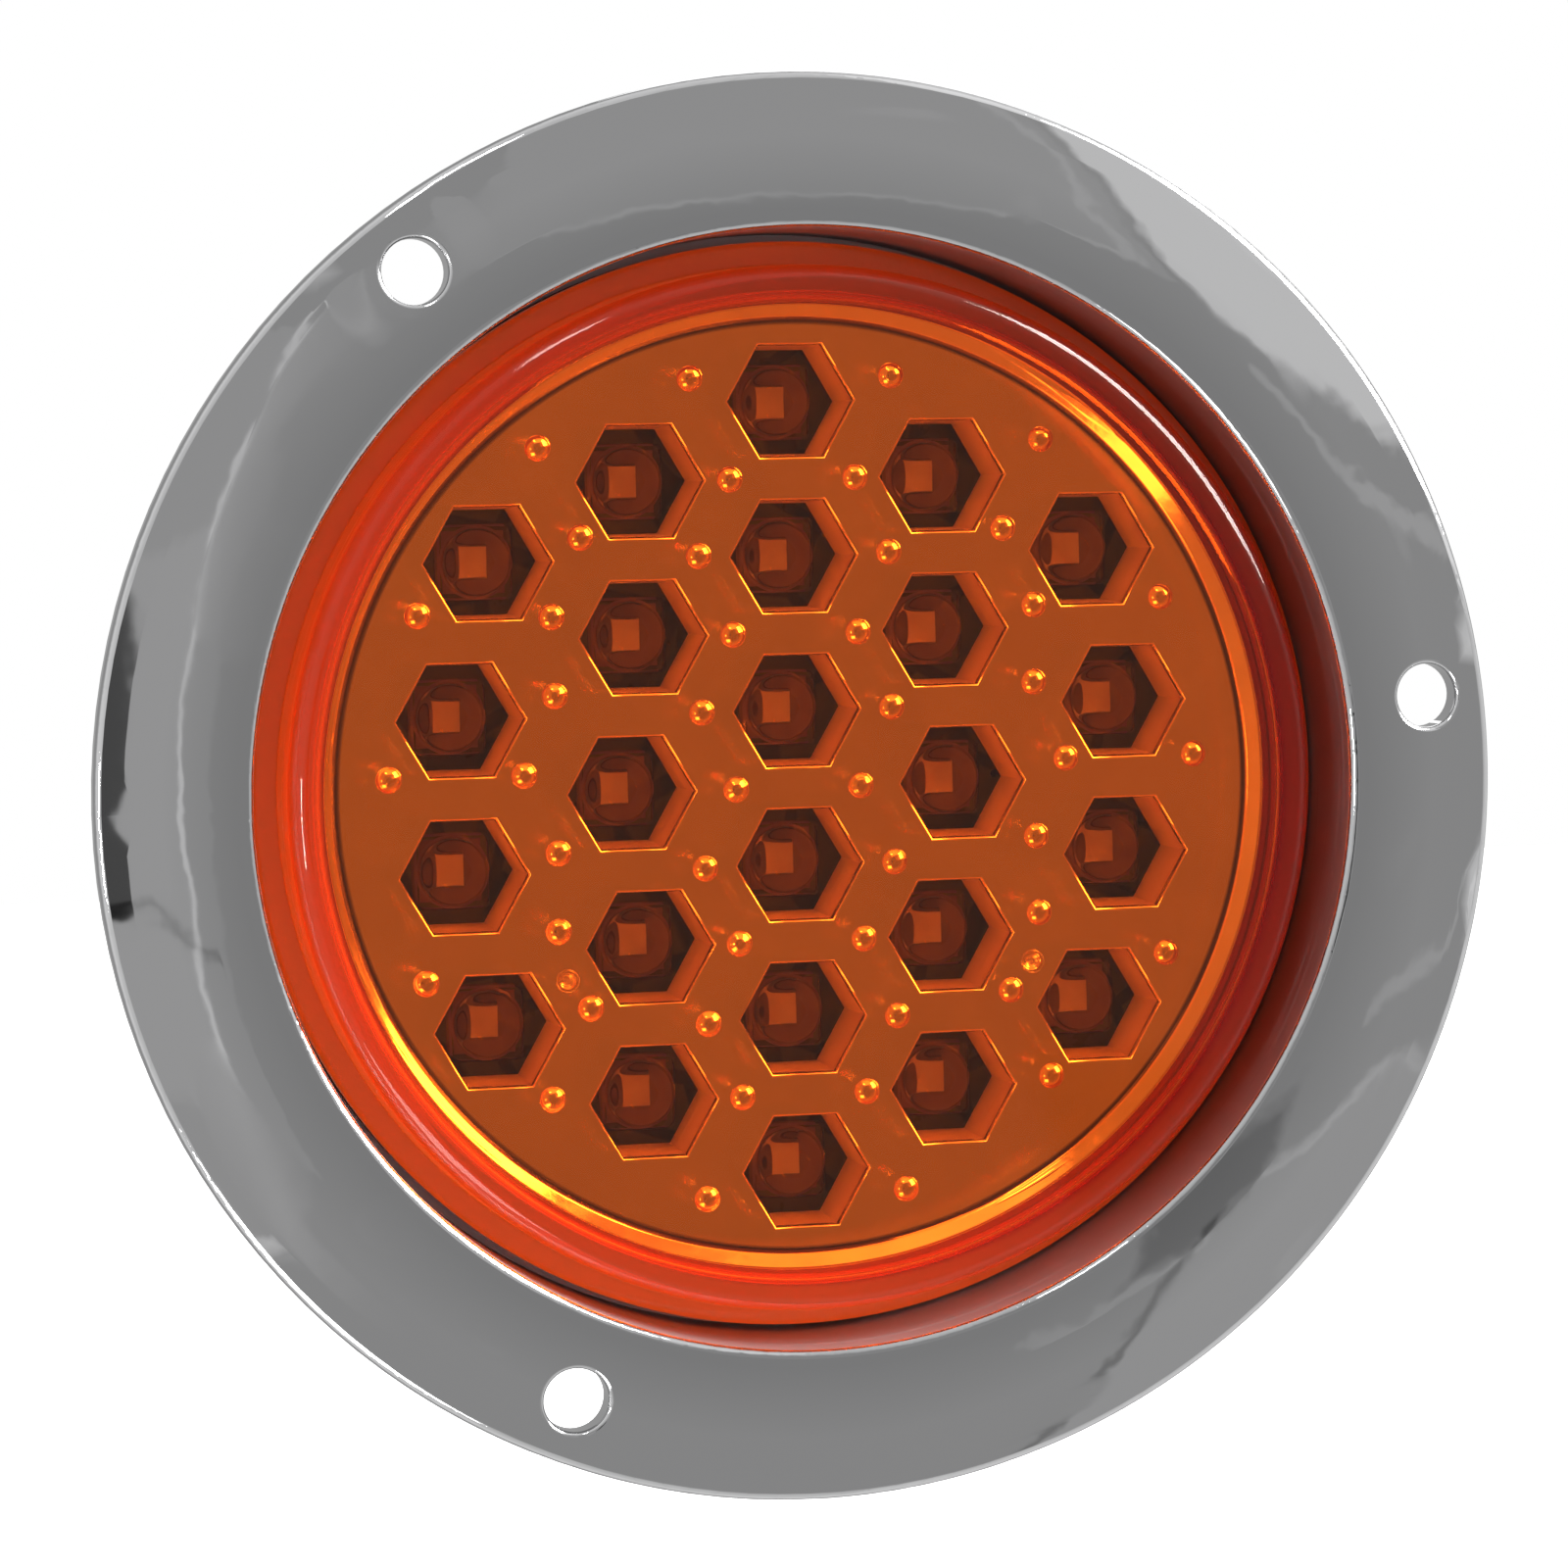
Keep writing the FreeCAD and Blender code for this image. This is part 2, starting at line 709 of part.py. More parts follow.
make_flange()
make_lens()
make_reflector()
for count, led_site in enumerate(LED_SITES, start=1):
    make_led(f"led_{count:02d}", led_site)
make_lead_frames()
make_board()
make_board_screws()
for wire_ended in WIRE_ENDED:
    make_wire_ended(*wire_ended)
make_capacitor()
make_housing()
make_receptacle()
for terminal, where in TERMINALS.items():
    make_terminal(terminal, where)
make_rings()
doc.recompute()

for item in doc.Objects:
    if "Invalid" in item.State or "Error" in item.State:
        raise RuntimeError(f"{item.Label} ({item.Name}) failed: {item.State}")
for item in subparts:
    if item.Shape.isNull() or not item.Shape.isValid():
        raise RuntimeError(f"{item.Label} has no valid shape")

os.makedirs("parts", exist_ok=True)
for item in subparts:
    item.Shape.exportStep(f"parts/{item.Label}.step")
    print(f"{item.Label}: {len(item.Shape.Solids)} solid(s), {item.Shape.Volume / 1000:.3f} cm3")
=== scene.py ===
"""Looks of the trailer lamp: materials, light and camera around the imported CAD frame, in metres."""

import json
import math

import bmesh
import bpy
from mathutils import Matrix, Vector


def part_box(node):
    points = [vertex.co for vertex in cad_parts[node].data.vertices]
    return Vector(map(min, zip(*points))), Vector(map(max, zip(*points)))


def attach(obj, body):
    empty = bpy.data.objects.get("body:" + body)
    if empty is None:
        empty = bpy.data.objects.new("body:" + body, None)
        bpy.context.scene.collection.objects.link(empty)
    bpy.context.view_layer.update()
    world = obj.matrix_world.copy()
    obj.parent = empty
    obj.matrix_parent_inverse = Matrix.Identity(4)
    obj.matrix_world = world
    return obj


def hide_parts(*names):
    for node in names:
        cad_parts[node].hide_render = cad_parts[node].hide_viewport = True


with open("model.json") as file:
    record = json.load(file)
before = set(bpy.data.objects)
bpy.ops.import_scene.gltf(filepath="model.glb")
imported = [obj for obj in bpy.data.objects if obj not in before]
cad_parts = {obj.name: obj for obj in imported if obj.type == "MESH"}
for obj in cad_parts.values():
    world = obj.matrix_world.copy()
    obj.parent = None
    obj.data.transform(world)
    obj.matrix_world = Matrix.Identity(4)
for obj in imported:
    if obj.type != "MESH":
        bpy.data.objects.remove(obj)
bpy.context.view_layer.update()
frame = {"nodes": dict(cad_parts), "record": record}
nodes = frame["nodes"]

MM = 0.001


# ---------------------------------------------------------------- materials

def material(name):
    """A new material: itself, its node tree and its Principled shader."""
    made = bpy.data.materials.new(name)
    made.use_nodes = True
    tree = made.node_tree
    return made, tree, tree.nodes["Principled BSDF"]


def settle(shader, **values):
    """Sets sockets of a shader, their names written with underscores."""
    for name, value in values.items():
        socket = shader.inputs[name.replace("_", " ")]
        socket.default_value = (*value, 1) if isinstance(value, tuple) and len(value) == 3 else value


def place_on(tree):
    """The shaded point in the object's own coordinates."""
    return tree.nodes.new("ShaderNodeTexCoord").outputs["Object"]


def parts_of_place(tree):
    """The shaded point's X, Y and Z, by name."""
    parts = tree.nodes.new("ShaderNodeSeparateXYZ")
    tree.links.new(place_on(tree), parts.inputs[0])
    return parts.outputs


def noise(tree, scale, detail=3.0, stretch=(1, 1, 1), turn=(0, 0, 0), distortion=0.0):
    """A noise fixed to the object; scale is in waves per metre."""
    mapping = tree.nodes.new("ShaderNodeMapping")
    mapping.inputs["Scale"].default_value = stretch
    mapping.inputs["Rotation"].default_value = turn
    made = tree.nodes.new("ShaderNodeTexNoise")
    made.inputs["Scale"].default_value = scale
    made.inputs["Detail"].default_value = detail
    made.inputs["Distortion"].default_value = distortion
    tree.links.new(place_on(tree), mapping.inputs["Vector"])
    tree.links.new(mapping.outputs["Vector"], made.inputs["Vector"])
    return made.outputs["Fac"]


def spread_to(tree, source, low, high, start=0.3, end=0.7, ramp="LINEAR"):
    """A value between low and high as source goes from start to end."""
    made = tree.nodes.new("ShaderNodeMapRange")
    made.interpolation_type = ramp
    for name, value in (("From Min", start), ("From Max", end), ("To Min", low), ("To Max", high)):
        made.inputs[name].default_value = value
    tree.links.new(source, made.inputs["Value"])
    return made.outputs["Result"]


def blended(tree, source, first, second):
    """From first to second as source goes from 0 to 1; each is a colour or another node's output."""
    made = tree.nodes.new("ShaderNodeMix")
    made.data_type = "RGBA"     # whose sockets are inputs 6 and 7 and output 2; the names are shared
    for socket, colour in ((made.inputs[6], first), (made.inputs[7], second)):
        if isinstance(colour, tuple):
            socket.default_value = (*colour, 1)
        else:
            tree.links.new(colour, socket)
    tree.links.new(source, made.inputs["Factor"])
    return made.outputs[2]


def operate(tree, operation, first, second):
    """A two-value operation; each value is a number or another node's output."""
    made = tree.nodes.new("ShaderNodeMath")
    made.operation = operation
    for socket, value in zip(made.inputs, (first, second)):
        if isinstance(value, float):
            socket.default_value = value
        else:
            tree.links.new(value, socket)
    return made.outputs[0]


def add(tree, first, second):
    return operate(tree, "ADD", first, second)


def multiply(tree, first, second):
    return operate(tree, "MULTIPLY", first, second)


def bump(tree, shader, height, distance, strength=1.0):
    """Adds relief under any that the shader has already; distance is its depth in metres."""
    made = tree.nodes.new("ShaderNodeBump")
    made.inputs["Strength"].default_value = strength
    made.inputs["Distance"].default_value = distance
    tree.links.new(height, made.inputs["Height"])
    if shader.inputs["Normal"].is_linked:
        tree.links.new(shader.inputs["Normal"].links[0].from_socket, made.inputs["Normal"])
    tree.links.new(made.outputs["Normal"], shader.inputs["Normal"])


def radius_of(tree):
    """Distance from the lamp's axis, in metres."""
    flat = tree.nodes.new("ShaderNodeVectorMath")
    flat.operation = "MULTIPLY"
    flat.inputs[1].default_value = (1, 0, 1)
    tree.links.new(place_on(tree), flat.inputs[0])
    radius = tree.nodes.new("ShaderNodeVectorMath")
    radius.operation = "LENGTH"
    tree.links.new(flat.outputs[0], radius.inputs[0])
    return radius.outputs["Value"]


def scratches(tree, thinness=0.66):
    """Sparse fine scratches in four directions, 1 in a scratch and 0 outside; fewer as thinness grows."""
    total = None
    for k, turn in enumerate((0.5, 1.35, 2.2, 2.9)):
        lines = noise(tree, 1.0, 2.0, (18 + 3 * k, 900, 18 + 3 * k), (turn * 0.3, turn, turn * 0.7))
        sharp = spread_to(tree, lines, 0.0, 1.0, thinness, thinness + 0.03)
        total = sharp if total is None else add(tree, total, sharp)
    return total


def plain(name, colour, roughness, shade=0.12, relief=0.00001):
    """A material with uneven colour and gloss over its surface and a fine grain in relief."""
    made, tree, shader = material(name)
    uneven = noise(tree, 60, 4.0)
    dark, light = (tuple(c * f for c in colour) for f in (1 - shade, 1 + shade))
    tree.links.new(blended(tree, spread_to(tree, uneven, 0, 1), dark, light), shader.inputs["Base Color"])
    gloss = spread_to(tree, noise(tree, 300, 3.0), roughness * 0.8, min(1.0, roughness * 1.25))
    tree.links.new(gloss, shader.inputs["Roughness"])
    bump(tree, shader, noise(tree, 1500, 2.0), relief)
    return made


BORE = 54.8               # the sleeve's inner radius
DULL_WITHIN, BRIGHT_FROM = 56.5, 63.5     # radii between which the plating brightens
DENT_AT = (63.5, 127)     # a dent beside a screw hole: its distance from the axis, and its angle in degrees
DENT_INNER, DENT_OUTER = 4.5, 9     # how far it is flat, and how far it reaches


def chrome():
    """Bright chrome over pressed steel: slow waves in the sheet, a dent by a hole, fine scratches."""
    made, tree, shader = material("chrome")
    settle(shader, Metallic=1.0)
    radius = radius_of(tree)
    outwards = spread_to(tree, radius, 0, 1, DULL_WITHIN * MM, BRIGHT_FROM * MM)
    tint = blended(tree, outwards, (0.475, 0.475, 0.48), (0.58, 0.58, 0.585))
    tree.links.new(tint, shader.inputs["Base Color"])
    marks = scratches(tree)
    uneven = spread_to(tree, noise(tree, 90, 5.0), 0.015, 0.045)
    worn = add(tree, multiply(tree, marks, 0.1), uneven)
    inside = spread_to(tree, radius, 0.45, 0.0, (BORE + 0.01) * MM, (BORE + 0.07) * MM)
    tree.links.new(add(tree, worn, inside), shader.inputs["Roughness"])
    bump(tree, shader, noise(tree, 22, 1.0), 0.0012, 0.35)
    bump(tree, shader, noise(tree, 160, 2.0), 0.00004, 0.35)
    away = tree.nodes.new("ShaderNodeVectorMath")
    away.operation = "DISTANCE"
    reach, turn = DENT_AT[0] * MM, math.radians(DENT_AT[1])
    away.inputs[1].default_value = (reach * math.cos(turn), -2 * MM, reach * math.sin(turn))
    tree.links.new(place_on(tree), away.inputs[0])
    near = spread_to(tree, away.outputs["Value"], 1.0, 0.0, DENT_INNER * MM, DENT_OUTER * MM, "SMOOTHSTEP")
    bump(tree, shader, near, 0.00035, 0.5)
    bump(tree, shader, marks, 0.000004, 0.4)
    return made


EDGE_INNER, EDGE_OUTER = 48.0, 48.8     # where the painted glow in the lens's edge starts, and where it is full
PAINTED_GLOW_BELOW, PAINTED_GLOW_ABOVE = 0.2, 0.085     # strength of the painted glow at the bottom and at the top: painted light in place of light from above right
PAINTED_GLOW_RIGHT = 0.15                       # share of the painted glow that is left at the right


def amber():
    """Clear amber plastic: colour comes from its depth, and a painted glow in its edge, strongest at the
    bottom and left, stands in for light from above right.
    """
    made, tree, shader = material("amber")
    settle(shader, Base_Color=(1.0, 1.0, 1.0), IOR=1.49, Transmission_Weight=1.0)
    settle(shader, Specular_Tint=(0.7, 0.66, 0.6), Emission_Color=(1.0, 0.2, 0.03))
    tree.links.new(spread_to(tree, noise(tree, 120, 5.0), 0.008, 0.03), shader.inputs["Roughness"])
    bump(tree, shader, scratches(tree, 0.65), 0.000012, 0.6)
    bump(tree, shader, noise(tree, 35, 2.0), 0.00006, 0.2)
    absorb = tree.nodes.new("ShaderNodeVolumeAbsorption")
    absorb.inputs["Color"].default_value = (0.995, 0.64, 0.11, 1)
    absorb.inputs["Density"].default_value = 1000
    tree.links.new(absorb.outputs["Volume"], tree.nodes["Material Output"].inputs["Volume"])
    # Painted light: the edge is given an emission, strongest at the bottom and left and weakest at the
    # right, in place of light from above right falling on it.
    place = parts_of_place(tree)
    reach = EDGE_INNER * MM
    edge = spread_to(tree, radius_of(tree), 0, 1, reach, EDGE_OUTER * MM)
    across = spread_to(tree, place["X"], 1.0, PAINTED_GLOW_RIGHT, 0, reach)
    upwards = spread_to(tree, place["Z"], PAINTED_GLOW_BELOW, PAINTED_GLOW_ABOVE, -reach, reach)
    painted_glow = multiply(tree, multiply(tree, edge, across), upwards)
    tree.links.new(painted_glow, shader.inputs["Emission Strength"])
    return made


BARE_INNER, BARE_OUTER = 48.12, 48.2     # the coating ends between these radii
GROOVE = (45.5, 45.75, 46.0, 46.25)      # painted shade in the face's groove: where it starts, is darkest from and to, and ends
WELL_TOP, WELL_MIDDLE = 5.6, 6.4         # the coating thins out down the wells' walls between these depths


def metallised():
    """Aluminium evaporated on to the front of white plastic, which shows in the wells and round the rim;
    the groove round the face is darkened with painted shade.
    """
    made, tree, shader = material("metallised")
    radius = radius_of(tree)
    bare = spread_to(tree, radius, 0, 1, BARE_INNER * MM, BARE_OUTER * MM)
    deep = spread_to(tree, parts_of_place(tree)["Y"], 0, 1, WELL_TOP * MM, WELL_MIDDLE * MM)
    white = operate(tree, "MAXIMUM", bare, deep)
    tree.links.new(spread_to(tree, white, 1.0, 0.0, 0.0, 1.0), shader.inputs["Metallic"])
    uneven = spread_to(tree, noise(tree, 120, 5.0, distortion=0.6), 0, 1)
    coated = blended(tree, uneven, (0.9, 0.88, 0.84), (0.97, 0.95, 0.92))
    # Painted shade: a dark ring of colour in the groove round the face.
    from_inside = spread_to(tree, radius, 0, 1, GROOVE[0] * MM, GROOVE[1] * MM)
    to_outside = spread_to(tree, radius, 0, -1, GROOVE[2] * MM, GROOVE[3] * MM)
    painted_groove_shade = blended(tree, add(tree, from_inside, to_outside), (1, 1, 1), (0.36, 0.34, 0.32))
    darkened = tree.nodes.new("ShaderNodeVectorMath")
    darkened.operation = "MULTIPLY"
    tree.links.new(coated, darkened.inputs[0])
    tree.links.new(painted_groove_shade, darkened.inputs[1])
    tree.links.new(darkened.outputs[0], shader.inputs["Base Color"])
    satin = spread_to(tree, noise(tree, 260, 4.0), 0.05, 0.13)
    satin = add(tree, satin, spread_to(tree, white, 0.0, 0.4, 0.0, 1.0))
    tree.links.new(satin, shader.inputs["Roughness"])
    bump(tree, shader, noise(tree, 700, 3.0), 0.00002, 0.35)
    bump(tree, shader, scratches(tree, 0.62), 0.00004, 0.5)
    return made


def clear_epoxy():
    """Water-clear epoxy, with the slight unevenness of a cast surface."""
    made, tree, shader = material("clear_epoxy")
    settle(shader, Base_Color=(1.0, 0.985, 0.96), IOR=1.5, Transmission_Weight=1.0)
    tree.links.new(spread_to(tree, noise(tree, 500, 3.0), 0.01, 0.05), shader.inputs["Roughness"])
    bump(tree, shader, noise(tree, 450, 2.0), 0.00005, 0.3)
    return made


def circuit_board():
    """Green solder mask over laminate, with the copper under it showing as broad paler tracks."""
    made, tree, shader = material("board")
    cells = tree.nodes.new("ShaderNodeTexVoronoi")
    cells.feature = "DISTANCE_TO_EDGE"
    cells.inputs["Scale"].default_value = 110
    tree.links.new(place_on(tree), cells.inputs["Vector"])
    track = spread_to(tree, cells.outputs["Distance"], 0, 1, 0.05, 0.08)
    tree.links.new(blended(tree, track, (0.06, 0.11, 0.05), (0.16, 0.24, 0.1)), shader.inputs["Base Color"])
    tree.links.new(spread_to(tree, noise(tree, 300, 4.0), 0.25, 0.45), shader.inputs["Roughness"])
    bump(tree, shader, track, 0.00004, 0.6)
    return made


def lacquered_resistor():
    """Beige lacquer, with an uneven dipped surface."""
    made, tree, shader = material("lacquer")
    uneven = spread_to(tree, noise(tree, 400, 3.0), 0, 1)
    tint = blended(tree, uneven, (0.56, 0.44, 0.28), (0.68, 0.56, 0.38))
    tree.links.new(tint, shader.inputs["Base Color"])
    tree.links.new(spread_to(tree, noise(tree, 700, 3.0), 0.25, 0.45), shader.inputs["Roughness"])
    bump(tree, shader, noise(tree, 900, 2.0), 0.00006, 0.5)
    return made


def turned_metal(name, colour, roughness):
    """Metal with fine drawn or turned lines across Y."""
    made, tree, shader = material(name)
    settle(shader, Metallic=1.0)
    uneven = spread_to(tree, noise(tree, 140, 4.0), 0, 1)
    dark, light = (tuple(min(1.0, c * f) for c in colour) for f in (0.82, 1.12))
    tree.links.new(blended(tree, uneven, dark, light), shader.inputs["Base Color"])
    gloss = spread_to(tree, noise(tree, 500, 4.0), roughness * 0.7, roughness * 1.4)
    tree.links.new(gloss, shader.inputs["Roughness"])
    bump(tree, shader, noise(tree, 1.0, 2.0, (40, 2600, 40)), 0.000006, 0.6)
    return made


PLATE = 0.5     # thickness of the lead frames' plates, which lie on the circuit board


def lead_frame():
    """Tinned metal: the pad in front is bright; behind it the plate and legs are painted darker and
    browner, a painted shade under the moulding.
    """
    made, tree, shader = material("tinned")
    settle(shader, Metallic=0.6)
    plate_front = nodes["circuit_board"].bound_box[0][1] - PLATE * MM
    depth = parts_of_place(tree)["Y"]
    # Painted shade: the metal behind the pad's front is made darker and browner.
    painted_shade_behind = spread_to(tree, depth, 0, 1, plate_front - 0.2 * MM, plate_front - 0.1 * MM)
    uneven = spread_to(tree, noise(tree, 300, 4.0), 0, 1)
    bright = blended(tree, uneven, (0.72, 0.66, 0.6), (0.9, 0.86, 0.8))
    tree.links.new(blended(tree, painted_shade_behind, bright, (0.3, 0.24, 0.22)), shader.inputs["Base Color"])
    tree.links.new(spread_to(tree, noise(tree, 900, 3.0), 0.4, 0.6), shader.inputs["Roughness"])
    bump(tree, shader, noise(tree, 1800, 2.0), 0.00003, 0.5)
    return made


FINISHES = {
    "chrome_plating": chrome(),
    "amber_polycarbonate": amber(),
    "metallised_plastic": metallised(),
    "led_epoxy": clear_epoxy(),
    "tinned_lead_frame": lead_frame(),
    "green_circuit_board": circuit_board(),
    "zinc_plated_steel": turned_metal("zinc", (0.62, 0.62, 0.6), 0.32),
    "resistor_lacquer": lacquered_resistor(),
    "black_epoxy": plain("epoxy", (0.025, 0.025, 0.027), 0.42),
    "capacitor_can": turned_metal("can", (0.76, 0.76, 0.77), 0.26),
    "black_plastic": plain("black_plastic", (0.028, 0.028, 0.03), 0.5, relief=0.00003),
    "pale_plastic": plain("pale_plastic", (0.5, 0.5, 0.49), 0.48, shade=0.04, relief=0.00003),
    "seal_rubber": plain("rubber", (0.018, 0.018, 0.018), 0.72, shade=0.25, relief=0.00004),
    "spring_steel": turned_metal("spring", (0.24, 0.24, 0.26), 0.36),
    "brass_pin": turned_metal("brass", (0.78, 0.58, 0.27), 0.2),
}

for subpart in frame["record"]["subparts"]:
    for slot in nodes[subpart["node"]].material_slots:
        slot.material = FINISHES[subpart["material_slot"]]


# ---------------------------------------------------------------- shapes

CREASE = math.radians(35)     # edges sharper than this are shaded sharp


def finished(piece, slot_name, replaced):
    """Gives a piece on the lamp's one body its finish, and lets it stand for a CAD node."""
    mesh = piece.data
    mesh.materials.clear()
    mesh.materials.append(FINISHES[slot_name])
    mesh.shade_smooth()
    mesh.set_sharp_from_angle(angle=CREASE)
    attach(piece, "root")
    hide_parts(replaced)


def piece_from(name, vertices, faces):
    """An object in the scene with a mesh of its own."""
    mesh = bpy.data.meshes.new(name)
    mesh.from_pydata(vertices, [], faces)
    piece = bpy.data.objects.new(name, mesh)
    bpy.context.scene.collection.objects.link(piece)
    return piece


def profile(corners, steps=10):
    """Points of an outline in (radius, depth): a corner given a third number is rounded by that radius."""
    points = []
    count = len(corners)
    for i, corner in enumerate(corners):
        here = Vector(corner[:2])
        if len(corner) == 2:
            points.append(here)
            continue
        before = Vector(corners[i - 1][:2]) - here
        after = Vector(corners[(i + 1) % count][:2]) - here
        half = before.angle(after) / 2
        inwards = (before.normalized() + after.normalized()).normalized()
        centre = here + inwards * corner[2] / math.sin(half)
        start = here + before.normalized() * corner[2] / math.tan(half) - centre
        end = here + after.normalized() * corner[2] / math.tan(half) - centre
        sweep = start.angle_signed(end)
        for step in range(steps + 1):
            turn = Matrix.Rotation(-sweep * step / steps, 2)
            points.append(centre + turn @ start)
    return points


def lathe(points, segments):
    """Vertices and faces of an outline turned about Y, from the front, out and round to the back."""
    vertices, faces, rings = [], [], []
    for radius, depth in points:
        if radius < 1e-6:     # on the axis, where the whole ring is one point
            rings.append([len(vertices)] * segments)
            vertices.append((0, depth * MM, 0))
            continue
        rings.append(list(range(len(vertices), len(vertices) + segments)))
        for k in range(segments):
            turn = math.tau * k / segments
            vertices.append((radius * math.cos(turn) * MM, depth * MM, radius * math.sin(turn) * MM))
    for here, after in zip(rings, rings[1:]):
        for k in range(segments):
            corners = [here[k], after[k], after[(k + 1) % segments], here[(k + 1) % segments]]
            faces.append(list(dict.fromkeys(corners)))
    return vertices, faces


def size(node):
    """A CAD node's lowest and highest corners in millimetres."""
    low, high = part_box(node)
    return low / MM, high / MM


SEAT = 0.05          # how far a clear piece sinks into what it is bonded to, so that no gap is left
SEGMENTS = 240       # sides of the large round pieces
LENS_WALL = 2.5
LEDGE = 3.0
LENS_FRONT_RADIUS = 51.2
LENS_LEDGE_RADIUS = 51.45
LENS_INNER_RADIUS = 48.8


def make_lens():
    """The lens: a cup with a drafted wall, a rounded front corner and a wider ledge at its base."""
    low, high = size("lens")
    front, back, rim = low.y, high.y + SEAT, high.x
    ledge = high.y - LEDGE
    corners = [
        (0, front),
        (LENS_FRONT_RADIUS, front, 2.0),
        (LENS_LEDGE_RADIUS, ledge, 0.2),
        (rim, ledge, 0.5),
        (rim, back),
        (LENS_INNER_RADIUS, back),
        (LENS_INNER_RADIUS, front + LENS_WALL, 1.6),
        (0, front + LENS_WALL),
    ]
    lens = piece_from("amber_lens", *lathe(profile(corners), SEGMENTS))
    finished(lens, "amber_polycarbonate", "lens")


PITCH = 15.24
# Where things stand on the face, as (columns, rows) in PITCHes; each stands for its mirror images too.
LED_PLACES = [(0, 0.5), (0, 1.5), (0, 2.5), (1, 1), (1, 2), (1.1, 0), (2, 1.5), (2.2, 0.5)]
DOME_PLACES = [
    (0.63, 0.505), (0.63, 1.513), (0.665, 2.653), (0.415, 0), (0.415, 1), (0.415, 2), (2.465, 1.175)]
RAISED = 0.135
SIDE_DOME_PLACES = [(1.8, RAISED), (2.675, RAISED)] + [
    (column, RAISED + row * side)
    for column, row in [(1.59, 0.505), (1.6, 1.01), (1.4, 1.513), (1.665, 2.09)] for side in (1, -1)]


def mirrored(places, both_ways=True):
    """Places in millimetres, with their left-right and, if both_ways, up-down images."""
    ends = (1, -1) if both_ways else (1,)
    found = {
        (column * side, row * end)
        for column, row in places for side in (1, -1) for end in ends}
    in_order = sorted(found, key=lambda place: (-place[1], place[0]))
    return [(column * PITCH, row * PITCH) for column, row in in_order]


LEDS = mirrored(LED_PLACES)
DOMES = mirrored(DOME_PLACES) + mirrored(SIDE_DOME_PLACES, False)
POSTS = [(23.6, -18.2), (-23.6, -18.2)]
LED_BASE = 2.8       # thickness of an LED's square base


def loft(rings):
    """A closed solid through rings of equally many points, in millimetres, with flat faces at its ends."""
    vertices = [(x * MM, y * MM, z * MM) for ring in rings for x, y, z in ring]
    count = len(rings[0])
    faces = [list(range(count)), list(reversed(range(len(vertices) - count, len(vertices))))]
    for r in range(len(rings) - 1):
        for k in range(count):
            here, after = r * count, (r + 1) * count
            faces.append([here + k, after + k, after + (k + 1) % count, here + (k + 1) % count])
    return vertices, faces


def merged(solids):
    """Several solids' vertices and faces as one list each."""
    vertices, faces = [], []
    for more, these in solids:
        faces += [[corner + len(vertices) for corner in face] for face in these]
        vertices += more
    return vertices, faces


def tool(name, vertices, faces):
    """An object that takes part in booleans, its faces all turned outwards."""
    made = piece_from(name, vertices, faces)
    mesh = made.data
    mesh.validate()
    work = bmesh.new()
    work.from_mesh(mesh)
    bmesh.ops.recalc_face_normals(work, faces=work.faces)
    work.to_mesh(mesh)
    work.free()
    return made


def combine(base, operation, other):
    """base with a boolean of other applied; other is used up."""
    change = base.modifiers.new(operation, "BOOLEAN")
    change.operation, change.object, change.solver = operation, other, "EXACT"
    bpy.context.view_layer.update()
    result = bpy.data.meshes.new_from_object(base.evaluated_get(bpy.context.evaluated_depsgraph_get()))
    base.modifiers.clear()
    base.data = result
    bpy.data.objects.remove(other)


def hexagon(flats, depth, x, z):
    """A hexagon's corners, seen from the front, with two corners level."""
    corner = flats / 2 / math.cos(math.pi / 6)
    turns = [math.tau * k / 6 for k in range(6)]
    return [(x + corner * math.cos(t), depth, z + corner * math.sin(t)) for t in turns]


BALL_SEGMENTS, BALL_RINGS = 32, 20


def ball(radius, x, depth, z):
    """A whole sphere."""
    turns = [math.pi * k / BALL_RINGS for k in range(BALL_RINGS + 1)]
    points = [(radius * math.sin(turn), depth - radius * math.cos(turn)) for turn in turns]
    vertices, faces = lathe(points, BALL_SEGMENTS)
    return [(vx + x * MM, vy, vz + z * MM) for vx, vy, vz in vertices], faces


FACE = 5.2               # depth of the reflector's face
PLATE_WALL = 1.3
SKIRT_WALL = 1.1
FACE_RADIUS = 45.8       # the face ends here in a groove, and a bevel rises from the groove to the rim
GROOVE_DEPTH = 0.4
WELL_WALL = 1.0
WELL_GAP = 0.2           # between a well's back and the base of its LED
MOUTH = 10.9             # a well's width between flats: at its mouth, and at its back
WELL_BACK = 10.3
MOUTH_ROUND = 0.4
MOUTH_STEPS = 5
DOME_BALL = 1.7          # the small domes and the dimples are caps of balls with these radii
DOME_HEIGHT = 0.6
DIMPLE_BALL = 1.3
DIMPLE_DEPTH = 0.8


def make_well(x, z, back):
    """The space inside one well, from in front of the face to behind the well's back."""
    rings = [hexagon(MOUTH + 2 * MOUTH_ROUND, FACE - 2, x, z)]
    for k in range(MOUTH_STEPS + 1):
        turn = math.pi / 2 * k / MOUTH_STEPS
        flats = MOUTH + 2 * MOUTH_ROUND * (1 - math.sin(turn))
        rings.append(hexagon(flats, FACE + MOUTH_ROUND * (1 - math.cos(turn)), x, z))
    rings.append(hexagon(WELL_BACK, back + 0.5, x, z))
    return loft(rings)


